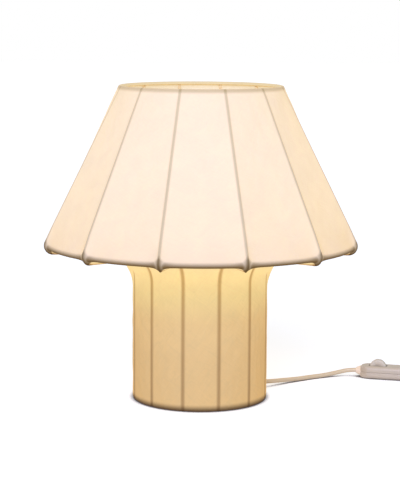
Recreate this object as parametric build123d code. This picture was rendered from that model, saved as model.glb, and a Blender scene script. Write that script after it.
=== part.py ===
from build123d import *
import math
import os

# Fabric table lamp: a wire frame wrapped in a translucent skin, an LED bulb on a stem inside it,
# and a flex with an in-line dimmer. Millimetres, +Z up, the origin in the middle of its foot.
# Radii and heights of the frame are those of the wires' centre lines.

# Frame
lamp_height = 400.0
rib_count = 12
first_rib = 15.0
wire_diameter = 3.5
top_ring_radius = 101.7
hem_corner_radius = 204.6
hem_corner_height = 194.6
hem_bend_radius = 9.0
hem_ring_angle = -30.0
neck_corner_height = 192.0
neck_bend_radius = 32.0
base_radius = 83.2
weld_gap = 0.1

# Skin
skin_thickness = 0.8
skin_gap = 0.3
skin_floor_gap = 0.3
mouth_wrap_angle = 150.0
foot_wrap_angle = -140.0
bay_waist = 0.2
bay_neck_rise = 4.0
bay_neck_bend_radius = 56.0
quarter_share = 0.3
hem_quarter_share = 0.15
steps_per_bend = 6

# Foot and stem
felt_radius = 80.0
felt_thickness = 3.0
felt_hole_radius = 12.0
plate_thickness = 2.0
stem_diameter = 10.0
stem_bore = 7.0
stem_length = 195.5
nut_width = 14.0
nut_thickness = 2.5
washer_radius = 10.0
washer_thickness = 1.0
slot_width = 6.0
slot_rise = 6.0
slot_length = 14.0
fit_gap = 0.1

# Flex inside the lamp
flex_diameter = 5.8
core_diameter = 2.2
core_spacing = 2.6
exit_azimuth = 30.0
flex_lift = 0.3
sheath_start = 50.0
core_low_bend = Vector(29.0, 0.0, 1.0)
core_low_bend_radius = 24.0
core_slot_rise = 3.0
core_slot_bend_radius = 10.0
flex_exit = 90.0
exit_hole_gap = 0.4
clamp_distance = 62.0
clamp_length = 8.0
clamp_width = 24.0
clamp_ear_thickness = 3.0
clamp_roof = 2.0
clamp_screw_spacing = 17.0
clamp_ear_gap = 0.5
screw_diameter = 3.0
screw_head_diameter = 5.5
screw_head_height = 2.0

# Lamp holder, E27
holder_radius = 19.5
holder_wall = 2.0
holder_neck_radius = 9.0
holder_neck_length = 6.0
holder_cap_height = 24.0
holder_skirt_height = 36.0
insert_thickness = 10.0
insert_drop = 4.0
thread_shell_radius = 14.1
thread_shell_wall = 0.5
thread_shell_height = 24.0
contact_radius = 4.0
contact_thickness = 1.2
terminal_width = 5.0
terminal_depth = 4.0
terminal_height = 4.0
terminal_half_gap = 0.9
terminal_screw_radius = 1.2
terminal_screw_length = 2.0

# LED bulb, E27
bulb_rest_gap = 0.3
bulb_tip_radius = 4.5
bulb_tip_height = 1.5
bulb_insulator_height = 3.0
bulb_cap_radius = 13.2
bulb_cap_height = 22.0
bulb_thread_pitch = 3.6
bulb_thread_depth = 0.7
bulb_wall = 1.3
bulb_housing_height = 28.0
bulb_collar_height = 4.7
bulb_globe_radius = 30.0
bulb_globe_rise = 14.0
board_thickness = 1.6

# Dimmer on the flex
dimmer_nose = Vector(215.5, 117.0, 8.5)
dimmer_heading = -15.0
nose_length = 7.0
nose_tip_radius = 4.2
nose_root_radius = 7.0
nose_grooves = 2
nose_groove_depth = 0.5
case_length = 74.0
case_width = 27.0
case_height = 16.8
case_taper = 9.0
case_end_width = 16.0
case_end_height = 14.4
case_corner = 4.5
case_wall = 1.5
case_post_radius = 3.0
wheel_radius = 11.5
wheel_width = 8.0
wheel_place = 30.0
wheel_rise = 5.1
wheel_ridges = 36
wheel_ridge_depth = 0.6
wheel_gap = 0.6
axle_diameter = 2.0
axle_gap = 0.06
bearing_width = 6.0
bearing_thickness = 2.5
bearing_rise = 1.3
wheel_side_gap = 1.5
case_screw_offset = 8.0
case_screw_inset = 9.5
lead_depth = 3.0
potentiometer_gap = 0.9
potentiometer_depth = 4.0
potentiometer_width = 12.0
potentiometer_drop = 6.5
potentiometer_rise = 1.3
shelf_width = 8.0
circuit_board_gap = 4.0
circuit_board_lift = 2.0
circuit_board_length = 22.0
circuit_board_width = 19.0
circuit_board_thickness = 1.2
board_rest_width = 16.0
board_rest_thickness = 2.0
board_rest_inset = 2.0
triac_inset = 2.0
triac_length = 4.0
triac_sides = (-3.0, 6.0)
component_height = 8.0
choke_radius = 3.6
choke_height = 7.0
choke_place = (11.0, 4.8)
terminal_block_length = 5.5
terminal_block_width = 14.0
terminal_block_inset = 0.5
core_half_gap = 1.4
core_start_length = 1.6
core_side_gap = 6.0
core_wheel_gap = 0.5
core_end_side = -3.0
core_end_rise = 5.0
core_end_length = 6.0
core_bend_radius = 2.0
core_climb_bend_radius = 2.5

# Coil and plug
coil_centre = Vector(346.0, 126.5)
coil_inner_radius = 25.0
coil_pitch = 6.3
coil_turns_per_layer = 3
floor_gap = 0.1
plug_start = Vector(352.5, 15.6)
plug_heading = 180.0
relief_length = 22.0
plug_length = 38.0
plug_width = 35.0
plug_back_width = 18.0
plug_thickness = 14.0
plug_chamfer = 2.0
relief_tip_radius = 4.0
relief_root_radius = 6.0
relief_grooves = 5
relief_groove_depth = 0.7
pin_diameter = 4.0
pin_length = 19.0
pin_spacing = 18.6

# Values that follow from those above
wire_radius = wire_diameter / 2
flex_radius = flex_diameter / 2
wrap_radius = wire_radius + skin_gap
top_ring_height = lamp_height - skin_thickness - wrap_radius
foot_ring_height = skin_floor_gap + skin_thickness + wrap_radius
plate_top = felt_thickness + plate_thickness
stem_bottom = felt_thickness - nut_thickness
stem_top = stem_bottom + stem_length
flex_height = plate_top + flex_lift + flex_radius
holder_bottom = stem_top - holder_neck_length - holder_neck_length / 2
skirt_bottom = holder_bottom + holder_cap_height
insert_bottom = skirt_bottom - insert_drop
insert_top = insert_bottom + insert_thickness
bulb_bottom = insert_top + contact_thickness + bulb_rest_gap
bulb_cap_bottom = bulb_bottom + bulb_tip_height + bulb_insulator_height
housing_bottom = bulb_cap_bottom + bulb_cap_height
housing_top = housing_bottom + bulb_housing_height
dimmer_length = 2 * nose_length + case_length
case_bottom = -dimmer_nose.Z
case_top = case_bottom + case_height
low_turn = floor_gap + flex_radius
high_turn = low_turn + coil_pitch
coil_outer_radius = coil_inner_radius + coil_turns_per_layer * coil_pitch
plug_height = plug_thickness / 2


def save(name, shape):
    export_step(shape, f"parts/{name}.step")


def direction(degrees):
    return (math.cos(math.radians(degrees)), math.sin(math.radians(degrees)))


def on_azimuth(azimuth, distance, height, aside=0.0):
    # A point in the vertical plane at this azimuth, or beside it.
    x, y = direction(azimuth)
    return Vector(distance * x - aside * y, distance * y + aside * x, height)


def turned(*outline):
    # A solid of revolution about Z from (radius, height) points.
    return revolve(make_face(Plane.XZ * Polyline(*outline, close=True)), Axis.Z)


def ring_tube(inner, outer, bottom, top):
    return turned((inner, bottom), (outer, bottom), (outer, top), (inner, top))


def rod(start, end, radius):
    line = Line(start, end)
    return sweep(Plane(origin=line @ 0, z_dir=line % 0) * Circle(radius), line)


def tube(path, radius):
    return sweep(Plane(origin=path @ 0, z_dir=path % 0) * Circle(radius), path)


# Frame of wires
def outward(start, end):
    # The angle of the outward side of a run, from (radius, height) to (radius, height).
    return math.degrees(math.atan2(end[0] - start[0], start[1] - end[1]))


def bend_centre(corner, before, after, radius):
    # Where two runs are rounded. The radius is negative where the centre lies outside the lamp.
    (a, b), (c, d) = direction(before), direction(after)
    share = radius / (1 + a * c + b * d)
    return (corner[0] - share * (a + c), corner[1] - share * (b + d))


top_ring = (top_ring_radius, top_ring_height)
hem_corner = (hem_corner_radius, hem_corner_height)
neck_corner = (base_radius, neck_corner_height)
foot_ring = (base_radius, foot_ring_height)
hem_centre = bend_centre(
    hem_corner, outward(top_ring, hem_corner), outward(hem_corner, neck_corner), hem_bend_radius
)
hem_ring_inset = hem_bend_radius - wire_diameter - weld_gap
hem_ring = (
    hem_centre[0] + hem_ring_inset * direction(hem_ring_angle)[0],
    hem_centre[1] + hem_ring_inset * direction(hem_ring_angle)[1],
)


def make_rib():
    run = Vector(hem_corner[0] - top_ring[0], 0, hem_corner[1] - top_ring[1]).normalized()
    ring_clear = wire_radius + weld_gap
    start = Vector(top_ring[0], 0, top_ring[1]) + run * ring_clear
    path = FilletPolyline(
        start,
        (hem_corner[0], 0, hem_corner[1]),
        (neck_corner[0], 0, neck_corner[1]),
        (foot_ring[0], 0, foot_ring[1] + ring_clear),
        radius=[hem_bend_radius, neck_bend_radius],
    )
    return tube(path, wire_radius)


def make_ring(place):
    return Pos(0, 0, place[1]) * Torus(place[0], wire_radius)


# Skin
def skin_line(corners, hem_bend, neck_bend):
    # The skin's inner face in one vertical plane, as (point, outward angle) from the mouth to the
    # hem seam, and from the seam to the foot. It lies one wrap radius outside the wires.
    top, hem, neck, foot = corners
    slope = outward(top, hem)
    under = outward(hem, neck)
    wall = outward(neck, foot)

    def arc(centre, radius, start, end):
        angles = [start + (end - start) * i / steps_per_bend for i in range(steps_per_bend + 1)]
        reach = radius + wrap_radius
        return [
            ((centre[0] + reach * direction(a)[0], centre[1] + reach * direction(a)[1]), a)
            for a in angles
        ]

    hem_arc = arc(bend_centre(hem, slope, under, hem_bend), hem_bend, slope, under)
    neck_arc = arc(bend_centre(neck, under, wall, -neck_bend), -neck_bend, under, wall)
    shade = arc(top, 0, mouth_wrap_angle, slope) + hem_arc
    base = hem_arc[-1:] + neck_arc + arc(foot, 0, wall, foot_wrap_angle)
    return shade, base


def both_faces(line):
    outer = [
        (p[0] + skin_thickness * direction(a)[0], p[1] + skin_thickness * direction(a)[1])
        for p, a in line
    ]
    return [p for p, a in line] + outer[::-1]


def blended(rib_outline, bay_outline, rib_shares):
    return [
        (share * a[0] + (1 - share) * b[0], share * a[1] + (1 - share) * b[1])
        for a, b, share in zip(rib_outline, bay_outline, rib_shares)
    ]


rib_lines = skin_line([top_ring, hem_corner, neck_corner, foot_ring], hem_bend_radius, neck_bend_radius)
bay_neck = (base_radius - bay_waist, neck_corner_height + bay_neck_rise)
bay_lines = skin_line([top_ring, hem_ring, bay_neck, foot_ring], 0, bay_neck_bend_radius)


bend_points = steps_per_bend + 1
shade_shares = [quarter_share] * bend_points + [hem_quarter_share] * bend_points
base_shares = [hem_quarter_share] + [quarter_share] * 2 * bend_points


def make_skin(rib_line, bay_line, quarter_shares):
    # Between two ribs the skin runs straight from rib to rib, drawn in to the rings' circles.
    rib_outline = both_faces(rib_line)
    bay_outline = both_faces(bay_line)
    quarter = blended(rib_outline, bay_outline, quarter_shares + quarter_shares[::-1])
    bay = [rib_outline, quarter, bay_outline, quarter]
    half_count = len(bay) * rib_count // 2
    step = 180 / half_count
    sections = []
    for i in range(half_count + 1):
        points = [on_azimuth(first_rib + i * step, r, z) for r, z in bay[i % len(bay)]]
        sections.append(Face(Wire.make_polygon(points, close=True)))
    half = Solid.make_loft([face.outer_wire() for face in sections], ruled=True)
    return half.fuse(half.rotate(Axis.Z, 180))


# Foot and stem
def make_foot_plate():
    plate_radius = base_radius - wire_radius - weld_gap
    plate = ring_tube(stem_diameter / 2 + fit_gap, plate_radius, felt_thickness, plate_top)
    for spot in clamp_screw_spots():
        plate -= Pos(spot.X, spot.Y, felt_thickness) * Cylinder(
            screw_diameter / 2 + fit_gap, 3 * plate_thickness
        )
    return plate


def make_felt_pad():
    return ring_tube(felt_hole_radius, felt_radius, 0, felt_thickness)


def make_stem():
    stem = ring_tube(stem_bore / 2, stem_diameter / 2, stem_bottom, stem_top)
    slot_bottom = plate_top + washer_thickness + nut_thickness + slot_rise - slot_width / 2
    slot = Box(
        stem_diameter, slot_width, slot_length, align=(Align.MIN, Align.CENTER, Align.MIN)
    )
    return stem - Rot(0, 0, exit_azimuth) * Pos(0, 0, slot_bottom) * slot


def make_nut(bottom):
    blank = extrude(RegularPolygon(nut_width / 2, 6, major_radius=False), nut_thickness)
    bore = Cylinder(stem_diameter / 2 + fit_gap, 3 * nut_thickness)
    return Pos(0, 0, bottom) * (blank - bore)


def make_stem_nuts():
    upper = make_nut(plate_top + washer_thickness)
    return upper + make_nut(felt_thickness - nut_thickness)


def make_stem_washer():
    return ring_tube(
        stem_diameter / 2 + fit_gap, washer_radius, plate_top, plate_top + washer_thickness
    )


# Flex and cores inside the lamp
def clamp_screw_spots():
    return [
        on_azimuth(exit_azimuth, clamp_distance, 0, side * clamp_screw_spacing / 2)
        for side in (-1, 1)
    ]


def make_cord_clamp():
    # A saddle across the flex, with an ear for a screw at each side.
    low = (Align.CENTER, Align.CENTER, Align.MIN)
    roof = flex_height + flex_radius + clamp_roof - plate_top
    saddle = Box(clamp_length, clamp_width, clamp_ear_thickness, align=low)
    saddle += Box(clamp_length, clamp_screw_spacing - screw_head_diameter - 2 * clamp_ear_gap, roof, align=low)
    groove = flex_radius + fit_gap
    axis_height = flex_height - plate_top
    saddle -= Pos(0, 0, axis_height) * Rot(0, 90, 0) * Cylinder(groove, 2 * clamp_length)
    saddle -= Box(2 * clamp_length, 2 * groove, axis_height, align=low)
    for side in (-1, 1):
        saddle -= Pos(0, side * clamp_screw_spacing / 2, 0) * Cylinder(
            screw_diameter / 2 + fit_gap, 4 * clamp_ear_thickness
        )
    return Rot(0, 0, exit_azimuth) * Pos(clamp_distance, 0, plate_top) * saddle


def make_screw(spot, seat, tip, head_up=True):
    # A pan-headed screw: its head lies on the seat height, and its shank ends at the tip height.
    shank = ring_tube_solid(screw_diameter / 2, min(seat, tip), max(seat, tip))
    head_bottom = seat if head_up else seat - screw_head_height
    head = ring_tube_solid(screw_head_diameter / 2, head_bottom, head_bottom + screw_head_height)
    return Pos(spot.X, spot.Y, 0) * (shank + head)


def ring_tube_solid(radius, bottom, top):
    return turned((0, bottom), (radius, bottom), (radius, top), (0, top))


def make_clamp_screws():
    seat = plate_top + clamp_ear_thickness
    first, second = [make_screw(spot, seat, felt_thickness + fit_gap) for spot in clamp_screw_spots()]
    return first + second


def make_core(side):
    # One insulated core: out of the sheath, in at the stem's slot and up to its terminal.
    aside = side * core_spacing / 2
    slot_middle = plate_top + washer_thickness + nut_thickness + slot_rise + slot_length / 2
    path = FilletPolyline(
        on_azimuth(exit_azimuth, sheath_start, flex_height, aside),
        on_azimuth(exit_azimuth, core_low_bend.X, flex_height + core_low_bend.Z, aside),
        on_azimuth(exit_azimuth, 0, slot_middle + core_slot_rise, aside),
        on_azimuth(exit_azimuth, 0, insert_bottom - terminal_height, aside),
        radius=[core_low_bend_radius, core_slot_bend_radius],
    )
    return tube(path, core_diameter / 2)


def make_inner_flex():
    start = on_azimuth(exit_azimuth, sheath_start, flex_height)
    return rod(start, on_azimuth(exit_azimuth, flex_exit, flex_height), flex_radius)


# Lamp holder
def make_holder_cap():
    bore = stem_diameter / 2 + fit_gap
    shoulder = holder_bottom + holder_neck_length
    inside = holder_radius - holder_wall
    return turned(
        (bore, holder_bottom),
        (holder_neck_radius, holder_bottom),
        (holder_neck_radius, shoulder - holder_wall),
        (holder_radius, shoulder + holder_neck_radius),
        (holder_radius, skirt_bottom),
        (inside, skirt_bottom),
        (inside, shoulder + holder_neck_radius + holder_wall / 2),
        (holder_neck_radius, shoulder + holder_wall / 2),
        (bore, shoulder + holder_wall / 2),
    )


def make_holder_skirt():
    inside = holder_radius - holder_wall
    return ring_tube(inside, holder_radius, skirt_bottom, skirt_bottom + holder_skirt_height)


def make_socket_insert():
    return ring_tube_solid(holder_radius - holder_wall - fit_gap, insert_bottom, insert_top)


def make_threaded_shell():
    inside = thread_shell_radius - thread_shell_wall
    return ring_tube(inside, thread_shell_radius, insert_top, insert_top + thread_shell_height)


def make_centre_contact():
    return ring_tube_solid(contact_radius, insert_top, insert_top + contact_thickness)


def make_terminals():
    blocks = [
        Rot(0, 0, exit_azimuth)
        * Pos(0, side * (terminal_width / 2 + terminal_half_gap), insert_bottom - terminal_height / 2)
        * Box(terminal_depth, terminal_width, terminal_height)
        for side in (-1, 1)
    ]
    return blocks[0] + blocks[1]


def make_terminal_screws():
    # One on the outer side of each terminal block.
    outer_side = terminal_width + terminal_half_gap
    screws = []
    for side in (-1, 1):
        shank = Cylinder(
            terminal_screw_radius,
            terminal_screw_length,
            align=(Align.CENTER, Align.CENTER, Align.MIN),
        )
        screws.append(
            Rot(0, 0, exit_azimuth)
            * Pos(0, side * outer_side, insert_bottom - terminal_height / 2)
            * Rot(-side * 90, 0, 0)
            * shank
        )
    return screws[0] + screws[1]


# LED bulb
def make_bulb_contact():
    return ring_tube_solid(bulb_tip_radius, bulb_bottom, bulb_bottom + bulb_tip_height)


def make_bulb_insulator():
    bottom = bulb_bottom + bulb_tip_height
    rim = bulb_cap_radius - bulb_thread_depth - bulb_wall
    return turned((0, bottom), (bulb_tip_radius, bottom), (rim, bulb_cap_bottom), (0, bulb_cap_bottom))


def make_bulb_cap():
    # A sheet-metal cap with rounded thread crests, drawn as rings.
    crest, root = bulb_cap_radius, bulb_cap_radius - bulb_thread_depth
    threads = int((bulb_cap_height - bulb_thread_pitch) / bulb_thread_pitch)
    outline = [(root, bulb_cap_bottom)]
    for i in range(threads):
        z = bulb_cap_bottom + (i + 0.5) * bulb_thread_pitch
        outline += [(root, z), (crest, z + bulb_thread_pitch / 2)]
    outline += [(root, bulb_cap_bottom + (threads + 0.5) * bulb_thread_pitch), (root, housing_bottom)]
    inside = root - bulb_wall / 2
    return turned(*outline, (inside, housing_bottom), (inside, bulb_cap_bottom))


def globe_rim():
    return math.sqrt(bulb_globe_radius**2 - bulb_globe_rise**2)


def make_bulb_housing():
    rim = globe_rim()
    neck = bulb_cap_radius + bulb_wall / 2
    return turned(
        (neck - bulb_wall, housing_bottom),
        (neck, housing_bottom),
        (neck + bulb_wall, housing_bottom + bulb_collar_height),
        (rim, housing_top),
        (rim - bulb_wall, housing_top),
        (neck, housing_bottom + bulb_collar_height),
        (neck - bulb_wall, housing_bottom + bulb_wall),
    )


def make_led_board():
    top = housing_top - bulb_wall
    slope = (globe_rim() - bulb_cap_radius) / bulb_housing_height
    radius = globe_rim() - bulb_wall - slope * (bulb_wall + board_thickness) - 2 * fit_gap
    return ring_tube_solid(radius - fit_gap, top - board_thickness, top)


def make_bulb_globe():
    centre = Pos(0, 0, housing_top + bulb_globe_rise)
    shell = centre * (Sphere(bulb_globe_radius) - Sphere(bulb_globe_radius - bulb_wall))
    below = Pos(0, 0, housing_top) * Cylinder(
        2 * bulb_globe_radius, 2 * bulb_globe_radius, align=(Align.CENTER, Align.CENTER, Align.MAX)
    )
    return shell - below


# Free flex
def rounded_path(name, points):
    # Straight runs joined by arcs as large as the runs allow.
    radii = []
    for before, corner, after in zip(points, points[1:], points[2:]):
        run = min((corner - before).length, (after - corner).length)
        turn = (corner - before).get_angle(after - corner)
        radii.append(0.45 * run / math.tan(math.radians(turn) / 2))
    print(name, "radii", [round(r, 1) for r in radii])
    return FilletPolyline(*points, radius=radii)


def make_free_flex(name, points):
    path = rounded_path(name, points)
    solid = tube(path, flex_radius)
    expected = math.pi * flex_radius**2 * path.length
    print(name, "length", round(path.length, 1), "volume share", round(solid.volume / expected, 4))
    return solid


def flex_to_dimmer_points():
    return [
        on_azimuth(exit_azimuth, flex_exit, flex_height),
        Vector(93.4, 53.9, 7.0),
        Vector(109.2, 67.7, 5.2),
        Vector(123.3, 78.2, 4.0),
        Vector(137.4, 87.6, 3.3),
        Vector(151.8, 97.8, 3.1),
        Vector(166.0, 105.4, 3.0),
        Vector(180.3, 112.4, 3.9),
        Vector(193.6, 117.8, 5.8),
        Vector(206.0, 119.5, 8.0),
        dimmer_nose,
    ]


def dimmer_point(along):
    x, y = direction(dimmer_heading)
    return dimmer_nose + Vector(along * x, along * y, 0)


def flex_to_coil_points():
    entry = coil_centre.Y - coil_outer_radius
    return [
        dimmer_point(dimmer_length),
        dimmer_point(dimmer_length + 12.3) + Vector(0, 0, -2.0),
        Vector(coil_centre.X - 19.0, entry, low_turn + 0.2),
        Vector(coil_centre.X - flex_diameter, entry, low_turn),
    ]


def flex_to_plug_points():
    leave = coil_centre.Y - coil_outer_radius
    return [
        Vector(coil_centre.X + flex_diameter, leave, high_turn),
        Vector(369.0, leave - 0.3, high_turn - 0.2),
        Vector(384.5, 73.5, 5.4),
        Vector(393.4, 58.0, 3.1),
        Vector(393.4, 40.0, 3.0),
        Vector(384.5, 24.5, 3.2),
        Vector(369.0, plug_start.Y + 0.3, 4.8),
        Vector(plug_start.X, plug_start.Y, plug_height),
    ]


# Coil of flex: it spirals in on the floor, climbs while it turns back, and spirals out on top
def coil_state(turns):
    # The place and heading after some turns, counted from the entry.
    radius = coil_inner_radius + abs(coil_turns_per_layer - turns) * coil_pitch
    drift = coil_pitch / (2 * math.pi)
    radial = -drift if turns < coil_turns_per_layer else drift
    if turns in (0, coil_turns_per_layer, 2 * coil_turns_per_layer):
        radial = 0
    climb = min(max(2 * (turns - coil_turns_per_layer) + 0.5, 0), 1)
    height = low_turn + coil_pitch * climb**2 * (3 - 2 * climb)
    rise = coil_pitch * 6 * climb * (1 - climb) * 2 / (2 * math.pi)
    x, y = direction(360 * turns - 90)
    place = Vector(coil_centre.X + radius * x, coil_centre.Y + radius * y, height)
    heading = Vector(radial * x - radius * y, radial * y + radius * x, rise).normalized()
    return place, heading


def biarc(start, start_heading, end, end_heading):
    # Two tangent arcs from one place and heading to another.
    gap = end - start
    both = start_heading + end_heading
    spread = 2 * (1 - start_heading.dot(end_heading))
    reach = math.sqrt(gap.dot(both) ** 2 + spread * gap.dot(gap)) - gap.dot(both)
    reach /= spread
    first_corner = start + start_heading * reach
    last_corner = end - end_heading * reach
    middle = (first_corner + last_corner) * 0.5
    middle_heading = (last_corner - first_corner).normalized()
    return [
        TangentArc(start, middle, tangent=start_heading),
        TangentArc(middle, end, tangent=middle_heading),
    ]


def make_flex_coil():
    quarters = 8 * coil_turns_per_layer
    states = [coil_state(i / 4) for i in range(quarters + 1)]
    start, start_heading = states[0]
    end, end_heading = states[-1]
    pieces = [Line(start - start_heading * flex_diameter, start)]
    for (place, heading), (next_place, next_heading) in zip(states, states[1:]):
        pieces += biarc(place, heading, next_place, next_heading)
    pieces.append(Line(end, end + end_heading * flex_diameter))
    wire = Wire([edge for piece in pieces for edge in piece.edges()])
    section = Plane(origin=start - start_heading * flex_diameter, z_dir=start_heading)
    solid = sweep(section * Circle(flex_radius), wire)
    points_per_piece = 8
    line = [piece @ (i / points_per_piece) for piece in pieces for i in range(points_per_piece)]
    near = 4 * points_per_piece
    least = min(
        (a - b).length for i, a in enumerate(line) for b in line[i + near :]
    )
    expected = math.pi * flex_radius**2 * wire.length
    print("flex_coil length", round(wire.length, 1), "volume share", round(solid.volume / expected, 4))
    print("flex_coil least self gap", round(least - flex_diameter, 2))
    return solid


# Dimmer, along +X from the tip of its front nose, at the nose's own height
dimmer_location = Location(dimmer_nose, (0, 0, dimmer_heading))


def case_block(inset):
    # A rounded bar, narrowed at both ends seen from above and from the side.
    half_width = case_width / 2 - inset
    low, high = case_bottom + inset, case_top - inset
    start, end = nose_length + inset, nose_length + case_length - inset
    middle = (low + high) / 2
    bar_outline = Plane.YZ * Pos(0, middle) * RectangleRounded(
        2 * half_width, high - low, case_corner - inset / 2
    )
    bar = extrude(bar_outline, dimmer_length)
    narrow = case_end_width / 2 - inset
    above = make_face(
        Polyline(
            (start, -narrow),
            (start + case_taper, -half_width),
            (end - case_taper, -half_width),
            (end, -narrow),
            (end, narrow),
            (end - case_taper, half_width),
            (start + case_taper, half_width),
            (start, narrow),
            close=True,
        )
    )
    flat = case_end_height / 2 - inset
    beside = make_face(
        Plane.XZ
        * Polyline(
            (start, -flat),
            (start + case_taper, low),
            (end - case_taper, low),
            (end, -flat),
            (end, flat),
            (end - case_taper, high),
            (start + case_taper, high),
            (start, flat),
            close=True,
        )
    )
    tall = extrude(Pos(0, 0, -case_height) * above, 2 * case_height)
    return bar & tall & extrude(beside, case_width, both=True)


def case_screw_spots():
    near = nose_length + case_screw_inset
    far = nose_length + case_length - case_screw_inset
    return [Vector(near, case_screw_offset, 0), Vector(far, -case_screw_offset, 0)]


def lead_bore():
    return Pos(dimmer_length / 2, 0, 0) * Rot(0, 90, 0) * Cylinder(
        flex_radius + axle_gap, dimmer_length
    )


def block(x, y, z):
    # A box from three (low, high) pairs.
    size = [high - low for low, high in (x, y, z)]
    middle = [(high + low) / 2 for low, high in (x, y, z)]
    return Pos(*middle) * Box(*size)


def axle_bore(gap):
    axle = Cylinder(axle_diameter / 2 + gap, case_width)
    return Pos(wheel_place, 0, wheel_rise) * Rot(90, 0, 0) * axle


board_bottom = case_bottom + case_wall + circuit_board_lift
board_top = board_bottom + circuit_board_thickness
board_start = wheel_place + wheel_radius + circuit_board_gap
board_end = board_start + circuit_board_length
bearing_side = -wheel_width / 2 - wheel_side_gap
potentiometer_start = wheel_width / 2 + potentiometer_gap
potentiometer_side = (potentiometer_start, potentiometer_start + potentiometer_depth)
potentiometer_bottom = wheel_rise - potentiometer_drop


def around(middle, width):
    return (middle - width / 2, middle + width / 2)


def make_lower_shell():
    shell = case_block(0) - case_block(case_wall)
    shell -= block((0, dimmer_length), (-case_width, case_width), (0, case_height))
    floor = case_bottom + case_wall
    inner = case_block(case_wall)
    for spot in case_screw_spots():
        post = Pos(spot.X, spot.Y, 0) * Cylinder(
            case_post_radius, case_height, align=(Align.CENTER, Align.CENTER, Align.MAX)
        )
        shell += post & inner
    bearing = block(
        around(wheel_place, bearing_width),
        (bearing_side - bearing_thickness, bearing_side),
        (floor, wheel_rise + bearing_rise),
    )
    shelf = block(
        around(wheel_place, shelf_width), potentiometer_side, (floor, potentiometer_bottom)
    )
    shell += bearing + shelf
    far_rest = board_end - board_rest_inset - board_rest_thickness
    for x in (board_start + board_rest_inset, far_rest):
        shell += block(
            (x, x + board_rest_thickness), around(0, board_rest_width), (floor, board_bottom)
        )
    for spot in case_screw_spots():
        shell -= Pos(spot.X, spot.Y, 0) * Cylinder(screw_diameter / 2 + fit_gap, 3 * case_height)
        shell -= Pos(spot.X, spot.Y, case_bottom) * Cylinder(
            screw_head_diameter / 2 + fit_gap, 2 * (screw_head_height + fit_gap)
        )
    return dimmer_location * (shell - lead_bore() - axle_bore(axle_gap))


def make_upper_shell():
    shell = case_block(0) - case_block(case_wall)
    shell -= block((0, dimmer_length), (-case_width, case_width), (-case_height, 0))
    inner = case_block(case_wall)
    for spot in case_screw_spots():
        post = Pos(spot.X, spot.Y, 0) * Cylinder(
            case_post_radius, case_height, align=(Align.CENTER, Align.CENTER, Align.MIN)
        )
        shell += post & inner
        shell -= Pos(spot.X, spot.Y, 0) * Cylinder(
            screw_diameter / 2 + fit_gap, 2 * (case_top - 2 * case_wall)
        )
    reach = wheel_radius + wheel_gap
    shell -= block(
        (wheel_place - reach, wheel_place + reach),
        (-wheel_width / 2 - wheel_gap, wheel_width / 2 + wheel_gap),
        (0, 2 * case_height),
    )
    return dimmer_location * (shell - lead_bore())


def make_dimmer_wheel():
    points = []
    for i in range(2 * wheel_ridges):
        x, y = direction(180 * i / wheel_ridges)
        radius = wheel_radius - (wheel_ridge_depth if i % 2 else 0)
        points.append((radius * x, radius * y))
    rim = extrude(make_face(Polyline(*points, close=True)), wheel_width / 2, both=True)
    rim -= Cylinder(axle_diameter / 2 + axle_gap, 2 * wheel_width)
    return dimmer_location * Pos(wheel_place, 0, wheel_rise) * Rot(90, 0, 0) * rim


def make_dimmer_axle():
    start = Vector(wheel_place, bearing_side - bearing_thickness, wheel_rise)
    end = Vector(wheel_place, potentiometer_side[1], wheel_rise)
    return dimmer_location * rod(start, end, axle_diameter / 2)


def make_potentiometer():
    body = block(
        around(wheel_place, potentiometer_width),
        potentiometer_side,
        (potentiometer_bottom, wheel_rise + potentiometer_rise),
    )
    return dimmer_location * (body - axle_bore(axle_gap))


def make_circuit_board():
    return dimmer_location * block(
        (board_start, board_end), around(0, circuit_board_width), (board_bottom, board_top)
    )


def make_triac():
    start = board_start + triac_inset
    return dimmer_location * block(
        (start, start + triac_length), triac_sides, (board_top, board_top + component_height)
    )


def make_choke():
    coil = Cylinder(choke_radius, choke_height, align=(Align.CENTER, Align.CENTER, Align.MIN))
    return dimmer_location * Pos(board_start + choke_place[0], choke_place[1], board_top) * coil


def make_dimmer_terminals():
    end = board_end - terminal_block_inset
    return dimmer_location * block(
        (end - terminal_block_length, end),
        around(0, terminal_block_width),
        (board_top, board_top + component_height),
    )


def make_dimmer_cores():
    # From the front lead past the wheel to the terminals.
    start = nose_length + case_wall + lead_depth
    side = -wheel_width / 2 - core_side_gap
    rise = board_top + core_end_rise
    end = board_end - terminal_block_inset - terminal_block_length
    cores = []
    for lift in (-core_half_gap, core_half_gap):
        path = FilletPolyline(
            (start, 0, lift),
            (start + core_start_length, 0, lift),
            (wheel_place - wheel_radius - core_wheel_gap, side, lift),
            (wheel_place + wheel_radius, side, lift),
            (end - core_end_length, core_end_side, rise + lift),
            (end, core_end_side, rise + lift),
            radius=[core_bend_radius, core_bend_radius, core_climb_bend_radius, core_bend_radius],
        )
        cores.append(tube(path, core_diameter / 2))
    return dimmer_location * (cores[0] + cores[1])


def make_dimmer_leads():
    # The sheathed ends of the flex inside the noses and the case's ends.
    reach = nose_length + case_wall + lead_depth
    front = rod(Vector(0, 0, 0), Vector(reach, 0, 0), flex_radius)
    rear = rod(Vector(dimmer_length - reach, 0, 0), Vector(dimmer_length, 0, 0), flex_radius)
    return dimmer_location * (front + rear)


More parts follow.
